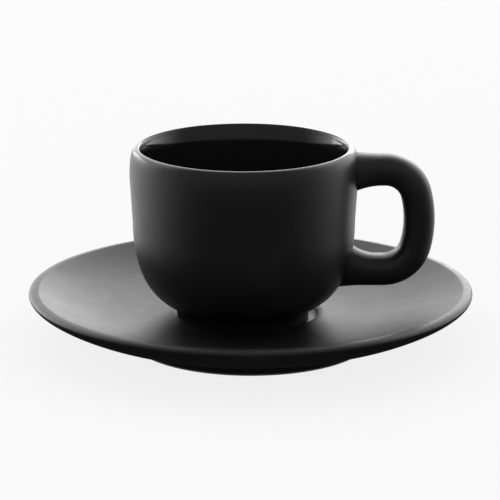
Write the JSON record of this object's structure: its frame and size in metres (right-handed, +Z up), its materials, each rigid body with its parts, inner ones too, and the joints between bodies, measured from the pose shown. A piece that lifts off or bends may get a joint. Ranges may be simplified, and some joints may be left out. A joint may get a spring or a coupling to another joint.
{
  "type": "espresso cup with saucer",
  "caption": "Round espresso cup with a thick squared loop handle, standing on a wide shallow saucer with a foot ring.",
  "frame": {"origin": "centre of the saucer's foot ring, on the surface that the saucer stands on", "axes": "+Z up, along the saucer's axis; +X towards the side that the cup's handle points to; +Y completes the right-handed frame"},
  "size_m": [0.12, 0.12, 0.0542],
  "materials": {
    "saucer_glaze": "satin black glaze",
    "cup_glaze": "satin black glaze",
    "handle_glaze": "satin black glaze",
    "slip_glaze": "satin black glaze over slip",
    "gloss_glaze": "gloss black glaze"
  },
  "bodies": {
    "saucer": {"saucer": "saucer_glaze"},
    "cup": {"cup_body": "cup_glaze", "inner_glaze": "gloss_glaze", "handle": "handle_glaze", "upper_handle_slip": "slip_glaze", "lower_handle_slip": "slip_glaze"}
  },
  "joints": [
    {"name": "cup_lift", "type": "slide", "parent": "saucer", "child": "cup", "axis": [0, 0, 1], "range_m": [0, 0.08]}
  ]
}
